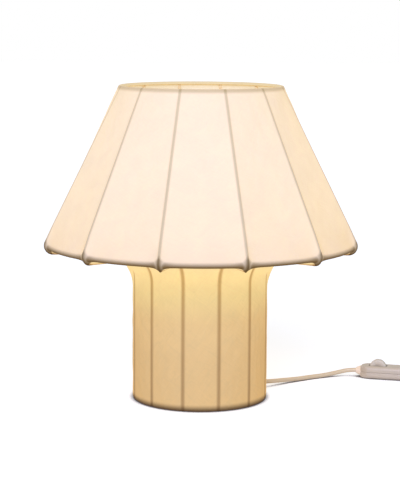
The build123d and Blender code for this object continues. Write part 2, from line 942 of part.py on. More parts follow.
def grooved_nose(tip_radius, root_radius, length, grooves, groove_depth):
    # A tapered strain relief along +X from its tip, with rings cut into it.
    bore = flex_radius + axle_gap
    pitch = length / (grooves + 1)
    outline = [(0, bore), (0, tip_radius)]
    for i in range(1, grooves + 1):
        x = i * pitch
        radius = tip_radius + (root_radius - tip_radius) * i / (grooves + 1)
        quarter = pitch / 4
        outline += [
            (x - quarter, radius),
            (x - quarter, radius - groove_depth),
            (x + quarter, radius - groove_depth),
            (x + quarter, radius),
        ]
    outline += [(length, root_radius), (length, bore)]
    return revolve(make_face(Plane.XZ * Polyline(*outline, close=True)), Axis.X)


def make_dimmer_noses():
    nose = grooved_nose(
        nose_tip_radius, nose_root_radius, nose_length, nose_grooves, nose_groove_depth
    )
    return dimmer_location * (nose + Pos(dimmer_length, 0, 0) * Rot(0, 0, 180) * nose)


def make_case_screws():
    # From below, with their heads sunk in the lower shell.
    seat = case_bottom + screw_head_height
    screws = [
        make_screw(spot, seat, case_top - 2 * case_wall - fit_gap, head_up=False)
        for spot in case_screw_spots()
    ]
    return dimmer_location * (screws[0] + screws[1])


# Plug, along +X from the cord's end of its strain relief
plug_location = Location((plug_start.X, plug_start.Y, plug_height), (0, 0, plug_heading))


def make_plug_relief():
    return plug_location * grooved_nose(
        relief_tip_radius, relief_root_radius, relief_length, relief_grooves, relief_groove_depth
    )


def make_plug_body():
    end = relief_length + plug_length
    outline = make_face(
        Polyline(
            (relief_length, -plug_back_width / 2),
            (relief_length + plug_length / 2, -plug_width / 2),
            (end, -plug_width / 2),
            (end, plug_width / 2),
            (relief_length + plug_length / 2, plug_width / 2),
            (relief_length, plug_back_width / 2),
            close=True,
        )
    )
    body = extrude(outline, plug_thickness / 2, both=True)
    by_height = body.edges().group_by(Axis.Z)
    return plug_location * chamfer(by_height[0] + by_height[-1], plug_chamfer)


def make_plug_pins():
    start = relief_length + plug_length
    round_tip = pin_diameter / 2 - fit_gap
    pins = []
    for side in (-1, 1):
        y = side * pin_spacing / 2
        pin = rod(Vector(start, y, 0), Vector(start + pin_length, y, 0), pin_diameter / 2)
        pins.append(fillet(pin.edges().sort_by(Axis.X)[-1], round_tip))
    return plug_location * (pins[0] + pins[1])


def main():
    os.makedirs("parts", exist_ok=True)
    rib = make_rib()
    for i in range(rib_count):
        save(f"rib_{i + 1:02d}", Rot(0, 0, first_rib + i * 360 / rib_count) * rib)
    save("top_ring", make_ring(top_ring))
    save("hem_ring", make_ring(hem_ring))
    save("foot_ring", make_ring(foot_ring))

    save("shade_skin", make_skin(rib_lines[0], bay_lines[0], shade_shares))
    exit_hole = rod(
        on_azimuth(exit_azimuth, base_radius - wrap_radius, flex_height),
        on_azimuth(exit_azimuth, base_radius + 2 * wrap_radius, flex_height),
        flex_radius + exit_hole_gap,
    )
    save("base_skin", make_skin(rib_lines[1], bay_lines[1], base_shares) - exit_hole)

    save("foot_plate", make_foot_plate())
    save("felt_pad", make_felt_pad())
    save("stem", make_stem())
    save("stem_nuts", make_stem_nuts())
    save("stem_washer", make_stem_washer())
    save("cord_clamp", make_cord_clamp())
    save("clamp_screws", make_clamp_screws())
    save("inner_flex", make_inner_flex())
    save("live_core", make_core(-1))
    save("neutral_core", make_core(1))

    save("holder_cap", make_holder_cap())
    save("holder_skirt", make_holder_skirt())
    save("socket_insert", make_socket_insert())
    save("threaded_shell", make_threaded_shell())
    save("centre_contact", make_centre_contact())
    save("terminals", make_terminals())
    save("terminal_screws", make_terminal_screws())

    save("bulb_contact", make_bulb_contact())
    save("bulb_insulator", make_bulb_insulator())
    save("bulb_cap", make_bulb_cap())
    save("bulb_housing", make_bulb_housing())
    save("led_board", make_led_board())
    save("bulb_globe", make_bulb_globe())

    save("flex_to_dimmer", make_free_flex("flex_to_dimmer", flex_to_dimmer_points()))
    save("flex_to_coil", make_free_flex("flex_to_coil", flex_to_coil_points()))
    save("flex_coil", make_flex_coil())
    save("flex_to_plug", make_free_flex("flex_to_plug", flex_to_plug_points()))

    save("dimmer_lower_shell", make_lower_shell())
    save("dimmer_upper_shell", make_upper_shell())
    save("dimmer_wheel", make_dimmer_wheel())
    save("dimmer_axle", make_dimmer_axle())
    save("potentiometer", make_potentiometer())
    save("circuit_board", make_circuit_board())
    save("triac", make_triac())
    save("choke", make_choke())
    save("dimmer_terminals", make_dimmer_terminals())
    save("dimmer_cores", make_dimmer_cores())
    save("dimmer_leads", make_dimmer_leads())
    save("dimmer_noses", make_dimmer_noses())
    save("case_screws", make_case_screws())

    save("plug_relief", make_plug_relief())
    save("plug_body", make_plug_body())
    save("plug_pins", make_plug_pins())


main()
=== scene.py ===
import math
import bmesh
import bpy
import numpy as np
from mathutils import Matrix, Vector


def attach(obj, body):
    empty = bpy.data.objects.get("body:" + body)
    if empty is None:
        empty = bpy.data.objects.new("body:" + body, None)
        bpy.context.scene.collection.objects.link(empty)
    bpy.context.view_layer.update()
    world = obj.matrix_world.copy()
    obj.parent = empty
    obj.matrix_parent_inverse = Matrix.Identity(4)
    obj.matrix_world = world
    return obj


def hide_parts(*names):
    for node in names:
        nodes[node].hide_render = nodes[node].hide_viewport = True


# Fabric table lamp, lit, with a dimmer on its flex. Metres, in the part's own frame.
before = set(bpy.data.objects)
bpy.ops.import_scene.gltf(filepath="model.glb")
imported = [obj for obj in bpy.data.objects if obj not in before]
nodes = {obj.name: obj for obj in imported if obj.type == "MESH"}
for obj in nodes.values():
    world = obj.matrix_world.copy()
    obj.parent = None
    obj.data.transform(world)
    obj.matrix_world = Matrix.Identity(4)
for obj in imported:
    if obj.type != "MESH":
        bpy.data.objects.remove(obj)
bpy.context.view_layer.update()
print("Frame loaded:", len(nodes), "nodes")


# Camera
cameraSetup = {
    "place": (-0.0372, -2.06896, 0.50049),
    "turn": -1.019,  # degrees about the upright
    "tilt": 81.673,  # degrees, 90 is level
    "roll": 0.324,
    "lens": 120.87,  # mm, for 36 mm along the picture's long side
}


def addCamera(setup):
    camera = bpy.data.objects.new("camera", bpy.data.cameras.new("camera"))
    bpy.context.scene.collection.objects.link(camera)
    camera.data.lens = setup["lens"]
    camera.data.sensor_width = 36
    camera.data.clip_end = 100
    turn = Matrix.Rotation(math.radians(setup["turn"]), 4, "Z")
    tilt = Matrix.Rotation(math.radians(setup["tilt"]), 4, "X")
    roll = Matrix.Rotation(math.radians(setup["roll"]), 4, "Z")
    camera.matrix_world = Matrix.Translation(setup["place"]) @ turn @ tilt @ roll
    bpy.context.scene.camera = camera


addCamera(cameraSetup)
bpy.context.scene.view_settings.view_transform = "Standard"
print("Camera placed")


# Mesh helpers
def linked(name, data):
    piece = bpy.data.objects.new(name, data)
    bpy.context.scene.collection.objects.link(piece)
    return piece


def gridFaces(rows, columns, closeRows, closeColumns):
    # Four-sided faces between neighbouring rows and columns, wrapped round where closed.
    i = np.arange(rows if closeRows else rows - 1)[:, None]
    j = np.arange(columns if closeColumns else columns - 1)[None, :]
    nextI = (i + 1) % rows
    nextJ = (j + 1) % columns
    corners = [i * columns + j, i * columns + nextJ, nextI * columns + nextJ, nextI * columns + j]
    return np.stack([np.broadcast_to(c, (i.size, j.size)) for c in corners], -1).reshape(-1, 4)


def gridPiece(name, points, closeRows=False, closeColumns=False, solid=False, flip=False):
    # A piece from a grid of points, rows x columns x 3. A solid one has its poles merged.
    rows, columns = points.shape[:2]
    faces = gridFaces(rows, columns, closeRows, closeColumns)
    if flip:
        faces = faces[:, ::-1]
    mesh = bpy.data.meshes.new(name)
    mesh.from_pydata(points.reshape(-1, 3).tolist(), [], faces.tolist())
    if solid:
        work = bmesh.new()
        work.from_mesh(mesh)
        bmesh.ops.remove_doubles(work, verts=work.verts, dist=1e-6)
        bmesh.ops.recalc_face_normals(work, faces=work.faces)
        work.to_mesh(mesh)
        work.free()
    mesh.shade_smooth()
    return linked(name, mesh)


def pointAttribute(piece, name, values):
    attribute = piece.data.attributes.new(name, "FLOAT", "POINT")
    attribute.data.foreach_set("value", values.astype(np.float32).ravel())


# Cords: the flex from the base to the dimmer, and from the dimmer over the coil to the plug
cordSetup = {
    "diameter": 0.0058,
    "toDimmer": [
        (0.07794, 0.045, 0.0082),
        (0.0934, 0.0539, 0.007),
        (0.1092, 0.0677, 0.0052),
        (0.1233, 0.0782, 0.004),
        (0.1374, 0.0876, 0.0033),
        (0.1518, 0.0978, 0.0031),
        (0.166, 0.1054, 0.003),
        (0.1803, 0.1124, 0.0039),
        (0.1936, 0.1178, 0.0058),
        (0.206, 0.1195, 0.008),
        (0.2155, 0.117, 0.0085),
    ],
    "toCoil": [
        (0.3005, 0.09422, 0.0085),
        (0.31238, 0.09104, 0.0065),
        (0.327, 0.0826, 0.0032),
        (0.3402, 0.0826, 0.003),
    ],
    "toPlug": [
        (0.3518, 0.0826, 0.0093),
        (0.369, 0.0823, 0.0091),
        (0.3845, 0.0735, 0.0054),
        (0.3934, 0.058, 0.0031),
        (0.3934, 0.04, 0.003),
        (0.3845, 0.0245, 0.0032),
        (0.369, 0.0159, 0.0048),
        (0.3525, 0.0156, 0.007),
    ],
    "coilCentre": (0.346, 0.1265),
    "coilInnerRadius": 0.025,
    "coilPitch": 0.0063,
    "coilLayerTurns": 3,
    "coilLow": 0.003,
    "pointsPerTurn": 16,
}


def coilPoints(setup):
    # The angle turns steadily, the radius shrinks by one pitch a turn and grows again, and the
    # height climbs by one pitch on a smooth step over the middle half turn.
    layer = setup["coilLayerTurns"]
    turns = np.linspace(0, 2 * layer, 2 * layer * setup["pointsPerTurn"] + 1)
    radius = setup["coilInnerRadius"] + np.abs(layer - turns) * setup["coilPitch"]
    climb = np.clip(2 * (turns - layer) + 0.5, 0, 1)
    height = setup["coilLow"] + setup["coilPitch"] * climb**2 * (3 - 2 * climb)
    angle = 2 * np.pi * turns - np.pi / 2
    x = setup["coilCentre"][0] + radius * np.cos(angle)
    y = setup["coilCentre"][1] + radius * np.sin(angle)
    return np.stack([x, y, height], 1)


def cordPiece(name, points, diameter):
    # A round cord on one smooth spline whose control points are the route's points.
    curve = bpy.data.curves.new(name, "CURVE")
    curve.dimensions = "3D"
    curve.bevel_depth = diameter / 2
    curve.bevel_resolution = 4
    curve.resolution_u = 8
    curve.use_fill_caps = True
    spline = curve.splines.new("NURBS")
    spline.points.add(len(points) - 1)
    weighted = np.ones((len(points), 4))
    weighted[:, :3] = points
    spline.points.foreach_set("co", weighted.ravel())
    spline.order_u = 3
    spline.use_endpoint_u = True
    return linked(name, curve)


cordToDimmer = cordPiece("cordToDimmer", cordSetup["toDimmer"], cordSetup["diameter"])
plugRoute = np.concatenate([cordSetup["toCoil"], coilPoints(cordSetup), cordSetup["toPlug"]])
cordToPlug = cordPiece("cordToPlug", plugRoute, cordSetup["diameter"])
print("Cords laid")


# Skin: a sheet drawn over the wires, from the mouth over the hem down to the foot
skinShape = {
    "ribCount": 12,
    "firstRib": 15.0,  # degrees
    "wireRadius": 0.00175,
    "weldGap": 0.0001,
    "topRing": (0.1017, 0.39715),  # radius, height
    "hemCorner": (0.2046, 0.1946),
    "hemBend": 0.009,
    "hemRingAngle": -30.0,
    "neckCorner": (0.0832, 0.192),
    "neckBend": 0.032,
    "bayNeck": (0.083, 0.196),
    "bayNeckBend": 0.056,
    "footRing": (0.0832, 0.00315),
    "reach": 0.00285,  # from a wire's centre to the sheet's outer face
    "thickness": 0.0008,
    "mouthWrap": 195.0,
    "footWrap": -140.0,
    "rimLift": 0.001,  # from the top ring's centre up to the mouth's shadow line
    "steps": {"mouth": 14, "shade": 70, "hem": 20, "under": 16, "neck": 24, "base": 60, "foot": 14},
    "bayColumns": 16,  # each side of a bay's middle, closer together near the ribs
    "columnCrowding": 1.8,
    "openBay": 1.9,  # how the sheet leaves a rib: a flat panel
    "hemBay": 11.0,  # and near the hem: quickly in to the ring
    "hemZone": 0.03,
    "edgeZone": 0.02,  # where the sheet's edges hold it smooth
    "edgeHold": 0.3,
    "tipSpread": 0.006,  # how fast a rib tip's shadow fades sideways
    "shadeWaist": 0.0015,  # how far the shade's panels are drawn in half way down
    "ribLift": 0.0004,
    "ribLiftWidth": 0.0016,
    "inwardTurn": 3.0,  # how fast the wrapped edge counts as facing inwards
    "wrinkle": 0.0003,
    "wrinkleCounts": (9, 14, 23, 31, 38, 47, 61, 74),  # waves once round the lamp
    "wrinkleSlant": (30, 190),  # radians a metre along the sheet
    "wrinkleSway": (1.5, 3, 25),  # radians, waves round, radians a metre along
    "seed": 7,
}
ribNames = [f"rib_{i:02d}" for i in range(1, skinShape["ribCount"] + 1)]


def outwardAngle(start, end):
    return math.atan2(end[0] - start[0], start[1] - end[1])


def bendCentre(corner, before, after, radius):
    # Where two runs are rounded; the radius is negative where the centre is outside the lamp.
    share = radius / (1 + math.cos(before) * math.cos(after) + math.sin(before) * math.sin(after))
    x = corner[0] - share * (math.cos(before) + math.cos(after))
    return (x, corner[1] - share * (math.sin(before) + math.sin(after)))


def arcLine(centre, radius, reach, start, end, count):
    # Radius, height and outward angle along an arc about a centre.
    angles = np.linspace(start, end, count)
    x = centre[0] + (radius + reach) * np.cos(angles)
    return np.stack([x, centre[1] + (radius + reach) * np.sin(angles), angles], 1)


def runLine(start, end, count):
    # A straight run between two lines' ends, without its own ends.
    share = np.linspace(0, 1, count + 2)[1:-1, None]
    return start[None, :] * (1 - share) + end[None, :] * share


def skinLines(shape, corners, hemBend, neckBend):
    # The sheet's outer face in an upright plane, from mouth to hem seam and from seam to foot.
    top, hem, neck, foot = corners
    slope = outwardAngle(top, hem)
    under = outwardAngle(hem, neck)
    wall = outwardAngle(neck, foot)
    reach = shape["reach"]
    steps = shape["steps"]
    hemCentre = bendCentre(hem, slope, under, hemBend)
    neckCentre = bendCentre(neck, under, wall, -neckBend)
    mouthArc = arcLine(top, 0, reach, math.radians(shape["mouthWrap"]), slope, steps["mouth"])
    hemArc = arcLine(hemCentre, hemBend, reach, slope, under, steps["hem"])
    neckArc = arcLine(neckCentre, -neckBend, reach, under, wall, steps["neck"])
    footArc = arcLine(foot, 0, reach, wall, math.radians(shape["footWrap"]), steps["foot"])
    shadeRun = runLine(mouthArc[-1], hemArc[0], steps["shade"])
    underRun = runLine(hemArc[-1], neckArc[0], steps["under"])
    baseRun = runLine(neckArc[-1], footArc[0], steps["base"])
    shade = np.concatenate([mouthArc, shadeRun, hemArc])
    return shade, np.concatenate([hemArc[-1:], underRun, neckArc, baseRun, footArc])


def lineLength(line):
    steps = np.hypot(np.diff(line[:, 0]), np.diff(line[:, 1]))
    return np.concatenate([[0], np.cumsum(steps)])


def bayAngles(shape):
    # For every column, its azimuth and its place in the bay: 1 on a rib and 0 in the middle.
    share = (np.arange(shape["bayColumns"]) / shape["bayColumns"]) ** shape["columnCrowding"]
    half = math.pi / shape["ribCount"]
    offsets = np.concatenate([share * half, 2 * half - np.append(share[1:], 1)[::-1] * half])
    places = np.abs(1 - offsets / half)
    starts = math.radians(shape["firstRib"]) + 2 * half * np.arange(shape["ribCount"])
    return (starts[:, None] + offsets[None, :]).ravel(), np.tile(places, shape["ribCount"])


def ringPlace(shape):
    # The hem ring lies inside the rib's bend, against its wire.
    slope = outwardAngle(shape["topRing"], shape["hemCorner"])
    under = outwardAngle(shape["hemCorner"], shape["neckCorner"])
    centre = bendCentre(shape["hemCorner"], slope, under, shape["hemBend"])
    inset = shape["hemBend"] - 2 * shape["wireRadius"] - shape["weldGap"]
    angle = math.radians(shape["hemRingAngle"])
    return (centre[0] + inset * math.cos(angle), centre[1] + inset * math.sin(angle))


def wrinkleHeights(shape, azimuth, along):
    # A sum of slanting waves, each a whole number of times round, of fixed random phases.
    random = np.random.default_rng(shape["seed"])
    height = np.zeros(np.broadcast_shapes(azimuth.shape, along.shape))
    sway, swayRound, swayAlong = shape["wrinkleSway"]
    fewest = min(shape["wrinkleCounts"])
    for count in shape["wrinkleCounts"]:
        slant = random.uniform(*shape["wrinkleSlant"]) * random.choice([-1, 1])
        phase = random.uniform(0, 2 * math.pi)
        drift = sway * np.sin(swayRound * azimuth + swayAlong * along + phase)
        wave = np.sin(count * azimuth + slant * along + drift + phase)
        height += wave / math.sqrt(count / fewest)
    return height * shape["wrinkle"] / 2


def skinPiece(name, shape, ribLine, bayLine, rimHeight, seamLast):
    # Each point lies between the rib's line and the bay's line by a power of its place in the
    # bay, which is higher near the hem; then it is lifted over the rib's wire and wrinkled.
    azimuth, place = bayAngles(shape)
    length = lineLength(bayLine)
    fromSeam = length[-1] - length if seamLast else length
    fromRim = length if seamLast else length[-1] - length
    nearHem = np.clip(1 - fromSeam / shape["hemZone"], 0, 1)
    power = shape["openBay"] + (shape["hemBay"] - shape["openBay"]) * nearHem[:, None]
    share = place[None, :] ** power
    offRib = 1 - share
    line = ribLine[:, None, :] * share[..., None] + bayLine[:, None, :] * offRib[..., None]
    lineRadius, lineHeight, outward = line[..., 0], line[..., 1], line[..., 2]
    ring = ringPlace(shape)
    down = (shape["topRing"][1] - lineHeight) / (shape["topRing"][1] - ring[1])
    drawnIn = shape["shadeWaist"] * np.sin(np.pi * np.clip(down, 0, 1)) * offRib * seamLast
    radius = lineRadius - drawnIn
    toRib = radius * np.sin((1 - place[None, :]) * math.pi / shape["ribCount"])
    fromEdge = np.minimum(fromSeam, fromRim)[:, None]
    loose = np.clip(fromEdge / shape["edgeZone"] - shape["edgeHold"], 0, 1)
    lift = shape["ribLift"] * np.exp(-((toRib / shape["ribLiftWidth"]) ** 2))
    lift = lift + wrinkleHeights(shape, azimuth[None, :], length[:, None]) * offRib
    radius = radius + lift * loose * np.cos(outward)
    height = lineHeight + lift * loose * np.sin(outward)
    points = np.stack([radius * np.cos(azimuth), radius * np.sin(azimuth), height], -1)
    piece = gridPiece(name, points, closeColumns=True, flip=True)
    outside = np.cos(outward) > 0
    inward = np.clip(1 - shape["inwardTurn"] * np.cos(outward), 0, 1)
    toRing = np.hypot(lineRadius - ring[0], lineHeight - ring[1])
    # Distances that the material uses to paint the wires' shadows on the sheet and the shade at its
    # hem, tips and rims, and how far the wrapped edge faces inwards.
    distances = {
        "fromSeam": np.broadcast_to(fromSeam[:, None], toRib.shape),
        "toHem": toRing - shape["reach"],
        "toTip": fromSeam[:, None] + shape["tipSpread"] * offRib,
        "toRim": np.where(outside, np.abs(lineHeight - rimHeight), 1),
        "toRib": np.where(outside, toRib, 1),
        "inward": inward * (fromRim < shape["hemZone"])[:, None],
    }
    for key, values in distances.items():
        pointAttribute(piece, key, values)
    wall = piece.modifiers.new("thickness", "SOLIDIFY")
    wall.thickness = shape["thickness"]
    wall.offset = -1
    wall.material_offset = 1
    return piece


topRing, footRing = skinShape["topRing"], skinShape["footRing"]
ribCorners = [topRing, skinShape["hemCorner"], skinShape["neckCorner"], footRing]
bayCorners = [topRing, ringPlace(skinShape), skinShape["bayNeck"], footRing]
ribLines = skinLines(skinShape, ribCorners, skinShape["hemBend"], skinShape["neckBend"])
bayLines = skinLines(skinShape, bayCorners, 0, skinShape["bayNeckBend"])
mouthHeight = topRing[1] + skinShape["rimLift"]
footHeight = footRing[1] - skinShape["reach"]
shadeCloth = skinPiece("shadeCloth", skinShape, ribLines[0], bayLines[0], mouthHeight, True)
baseCloth = skinPiece("baseCloth", skinShape, ribLines[1], bayLines[1], footHeight, False)
print("Skins drawn over the wires")


# Dimmer
dimmerShape = {
    "nose": (0.2155, 0.117, 0.0085),
    "heading": -15.0,
    "length": 0.088,
    "noseLength": 0.007,
    "noseTip": 0.0042,
    "noseRoot": 0.007,
    "grooves": 2,
    "grooveDepth": 0.0006,
    "bore": 0.00296,
    "voxel": 0.0005,
    "smoothing": 16,
    "wheelCentre": (0.244478, 0.109235, 0.0136),
    "wheelRadius": 0.0115,
    "wheelWidth": 0.008,
    "wheelBore": 0.00106,
    "wheelEdge": 0.0011,
    "ridges": 36,
    "ridgeDepth": 0.0006,
    "ridgeSharpness": 0.6,
    "pointsPerRidge": 10,
}
reliefFinish = {
    "tipRound": ((0, 0.0006), (0.0002, 0.0002)),  # along, and how far within the tip's radius
    "tipEnd": 0.0008,
    "pointsPerGroove": 20,
    "grooveSharpness": 2.2,
    "plainEnd": 0.001,
}


def settled(piece):
    # The piece's mesh with its modifiers taken in.
    graph = bpy.context.evaluated_depsgraph_get()
    mesh = bpy.data.meshes.new_from_object(piece.evaluated_get(graph))
    piece.modifiers.clear()
    piece.data = mesh
    mesh.shade_smooth()
    return piece


def softenedCopy(name, node, shape):
    # A moulded part: the node's shape with its edges worn round.
    mesh = nodes[node].data.copy()
    work = bmesh.new()
    work.from_mesh(mesh)
    bmesh.ops.remove_doubles(work, verts=work.verts, dist=1e-5)
    work.to_mesh(mesh)
    work.free()
    mesh.materials.clear()
    piece = linked(name, mesh)
    remesh = piece.modifiers.new("remesh", "REMESH")
    remesh.mode = "VOXEL"
    remesh.voxel_size = shape["voxel"]
    smooth = piece.modifiers.new("smooth", "SMOOTH")
    smooth.factor = 0.5
    smooth.iterations = shape["smoothing"]
    return settled(piece)


def headingMatrix(place, degrees):
    return Matrix.Translation(place) @ Matrix.Rotation(math.radians(degrees), 4, "Z")


def turnedPiece(name, profile, matrix, steps=48):
    # A profile of (along, radius) carried round the X axis of a matrix.
    angle = np.linspace(0, 2 * np.pi, steps, endpoint=False)
    along, radius = np.array(profile).T
    x = np.broadcast_to(along[:, None], (len(along), steps))
    points = np.stack([x, radius[:, None] * np.cos(angle), radius[:, None] * np.sin(angle)], -1)
    piece = gridPiece(name, points, closeRows=True, closeColumns=True, solid=True)
    piece.data.transform(matrix)
    return piece


def reliefProfile(length, tip, root, bore, grooves, depth):
    # From the bore out over the rounded tip, along a cone with rounded grooves, and back.
    finish = reliefFinish
    along = np.linspace(finish["tipEnd"], length, finish["pointsPerGroove"] * (grooves + 1))
    phase = np.abs(np.sin(np.pi * along / length * (grooves + 1)))
    notch = depth * (1 - np.clip(phase * finish["grooveSharpness"], 0, 1))
    grooved = (along > length / (grooves + 2)) & (along < length - finish["plainEnd"])
    radius = tip + (root - tip) * along / length - notch * grooved
    rounded = [(x, tip - within) for x, within in finish["tipRound"]]
    return [(0, bore)] + rounded + list(zip(along, radius)) + [(length, bore)]


def wheelPiece(name, shape):
    # Round the axle: the bore, a side, a rounded edge, the ridged rim, and the other side.
    half = shape["wheelWidth"] / 2
    edge = shape["wheelEdge"]
    outer = shape["wheelRadius"]
    bore = [shape["wheelBore"]]
    bend = np.linspace(0, np.pi / 2, 5)
    rising, falling = edge * np.sin(bend), edge * np.cos(bend)
    x = np.concatenate([[-half], -half + edge - falling, half - edge + rising, [half]])
    r = np.concatenate([bore, outer - edge + rising, outer - edge + falling, bore])
    steps = shape["pointsPerRidge"] * shape["ridges"]
    angle = np.linspace(0, 2 * np.pi, steps, endpoint=False)
    valley = (0.5 - 0.5 * np.cos(shape["ridges"] * angle)) ** shape["ridgeSharpness"]
    wave = shape["ridgeDepth"] * valley
    rim = np.clip((r - outer + edge) / edge, 0, 1)
    radius = r[:, None] - rim[:, None] * wave[None, :]
    along = np.broadcast_to(x[:, None], radius.shape)
    points = np.stack([radius * np.cos(angle), along, radius * np.sin(angle)], -1)
    piece = gridPiece(name, points, closeRows=True, closeColumns=True, solid=True)
    piece.data.transform(headingMatrix(shape["wheelCentre"], shape["heading"]))
    return piece


dimmerTop = softenedCopy("dimmerTop", "dimmer_upper_shell", dimmerShape)
dimmerBottom = softenedCopy("dimmerBottom", "dimmer_lower_shell", dimmerShape)
dimmerWheel = wheelPiece("dimmerWheel", dimmerShape)
noseKeys = ("noseLength", "noseTip", "noseRoot", "bore", "grooves", "grooveDepth")
noseLine = reliefProfile(*[dimmerShape[key] for key in noseKeys])
frontMatrix = headingMatrix(dimmerShape["nose"], dimmerShape["heading"])
toRear = Matrix.Translation((dimmerShape["length"], 0, 0))
rearMatrix = frontMatrix @ toRear @ Matrix.Rotation(math.pi, 4, "Z")
dimmerNoseFront = turnedPiece("dimmerNoseFront", noseLine, frontMatrix)
dimmerNoseRear = turnedPiece("dimmerNoseRear", noseLine, rearMatrix)
print("Dimmer moulded")


# Plug
plugShape = {
    "start": (0.3525, 0.0156, 0.007),
    "heading": 180.0,
    "reliefLength": 0.022,
    "reliefTip": 0.004,
    "reliefRoot": 0.006,
    "bore": 0.00296,
    "grooves": 5,
    "grooveDepth": 0.0007,
    "bodyLength": 0.038,
    "backWidth": 0.018,
    "width": 0.035,
    "thickness": 0.0139,
    "swellEnd": 0.55,  # share of the length at which the body is at its widest
    "backDome": 0.06,
    "frontDome": 0.03,
    "domeInset": 0.0014,
    "cornerPower": 0.55,
    "steps": 44,
    "around": 72,
}


def plugBody(name, shape):
    # Rounded sections along X: the width swells from the back to the middle, and the corners
    # are a superellipse's; both ends are domed shut.
    share = np.linspace(0, 1, shape["steps"])
    swell = np.clip(share / shape["swellEnd"], 0, 1)
    wider = (shape["width"] - shape["backWidth"]) * swell**2 * (3 - 2 * swell)
    end = np.clip(np.minimum(share / shape["backDome"], (1 - share) / shape["frontDome"]), 0, 1)
    inset = shape["domeInset"] * (1 - np.sqrt(1 - (1 - end) ** 2))
    halfWidth = np.maximum((shape["backWidth"] + wider) / 2 - inset, 0)
    halfHeight = np.maximum(shape["thickness"] / 2 - inset, 0)
    angle = np.linspace(0, 2 * np.pi, shape["around"], endpoint=False)
    across = np.sign(np.cos(angle)) * np.abs(np.cos(angle)) ** shape["cornerPower"]
    up = np.sign(np.sin(angle)) * np.abs(np.sin(angle)) ** shape["cornerPower"]
    x = shape["reliefLength"] + share * shape["bodyLength"]
    along = np.broadcast_to(x[:, None], (shape["steps"], shape["around"]))
    body = np.stack([along, halfWidth[:, None] * across, halfHeight[:, None] * up], -1)
    poles = body[[0, -1]] * (1, 0, 0)
    points = np.concatenate([poles[:1], body, poles[1:]])
    piece = gridPiece(name, points, closeColumns=True, solid=True)
    piece.data.transform(headingMatrix(shape["start"], shape["heading"]))
    return piece


plugMatrix = headingMatrix(plugShape["start"], plugShape["heading"])
sleeveKeys = ("reliefLength", "reliefTip", "reliefRoot", "bore", "grooves", "grooveDepth")
sleeveLine = reliefProfile(*[plugShape[key] for key in sleeveKeys])
plugCase = plugBody("plugCase", plugShape)
plugSleeve = turnedPiece("plugSleeve", sleeveLine, plugMatrix)
print("Plug moulded")


# Node helpers for materials
def rgb(red, green, blue):
    # A colour as it is seen on a screen, 0 to 255, made linear.
    seen = np.array([red, green, blue]) / 255
    linear = np.where(seen <= 0.04045, seen / 12.92, ((seen + 0.055) / 1.055) ** 2.4)
    return (*[float(v) for v in linear], 1.0)


def fill(tree, node, values):
    # Each named input gets a link from another socket, or a fixed value.
    for key, value in values.items():
        if isinstance(value, bpy.types.NodeSocket):
            tree.links.new(value, node.inputs[key])
        else:
            node.inputs[key].default_value = value
    return node


def addNode(tree, kind, inputs=None, **settings):
    node = tree.nodes.new(kind)
    for key, value in settings.items():
        setattr(node, key, value)
    return fill(tree, node, inputs or {})


def mathNode(tree, operation, *values):
    inputs = dict(enumerate(values))
    return addNode(tree, "ShaderNodeMath", inputs, operation=operation).outputs[0]


def mixColour(tree, share, a, b, blend="MIX"):
    inputs = {0: share, 6: a, 7: b}
    node = addNode(tree, "ShaderNodeMix", inputs, data_type="RGBA", blend_type=blend)
    return node.outputs[2]


def scaleColour(tree, colour, factor):
    inputs = {0: colour, "Scale": factor}
    return addNode(tree, "ShaderNodeVectorMath", inputs, operation="SCALE").outputs[0]


def rampNode(tree, value, stops):
    # A colour ramp from (place, colour) pairs.
    node = addNode(tree, "ShaderNodeValToRGB", {0: value})
    ramp = node.color_ramp
    while len(ramp.elements) < len(stops):
        ramp.elements.new(0.5)
    for element, (place, colour) in zip(ramp.elements, stops):
        element.position = place
        element.color = colour
    return node.outputs[0]


def mapRange(tree, value, low, high, toLow=0.0, toHigh=1.0, kind="SMOOTHSTEP"):
    inputs = dict(enumerate((value, low, high, toLow, toHigh)))
    return addNode(tree, "ShaderNodeMapRange", inputs, interpolation_type=kind).outputs[0]


def noiseNode(tree, place, scale, detail, distortion=0.0):
    inputs = {"Vector": place, "Scale": scale, "Detail": detail, "Distortion": distortion}
    return addNode(tree, "ShaderNodeTexNoise", inputs).outputs[0]


def attributeNode(tree, name):
    return addNode(tree, "ShaderNodeAttribute", attribute_name=name).outputs["Fac"]


def objectPoint(tree):
    return addNode(tree, "ShaderNodeTexCoord").outputs["Object"]


def newGroup(name, inputs, outputs):
    # A shader node group with named sockets: (name, kind, value) in and (name, kind) out.
    group = bpy.data.node_groups.new(name, "ShaderNodeTree")
    sockets = group.interface
    for socketName, kind, value in inputs:
        socket = sockets.new_socket(socketName, in_out="INPUT", socket_type="NodeSocket" + kind)
        socket.default_value = value
    for socketName, kind in outputs:
        sockets.new_socket(socketName, in_out="OUTPUT", socket_type="NodeSocket" + kind)
    return group, group.nodes.new("NodeGroupInput"), group.nodes.new("NodeGroupOutput")


def useGroup(tree, group, **values):
    node = tree.nodes.new("ShaderNodeGroup")
    node.node_tree = group
    return fill(tree, node, values).outputs


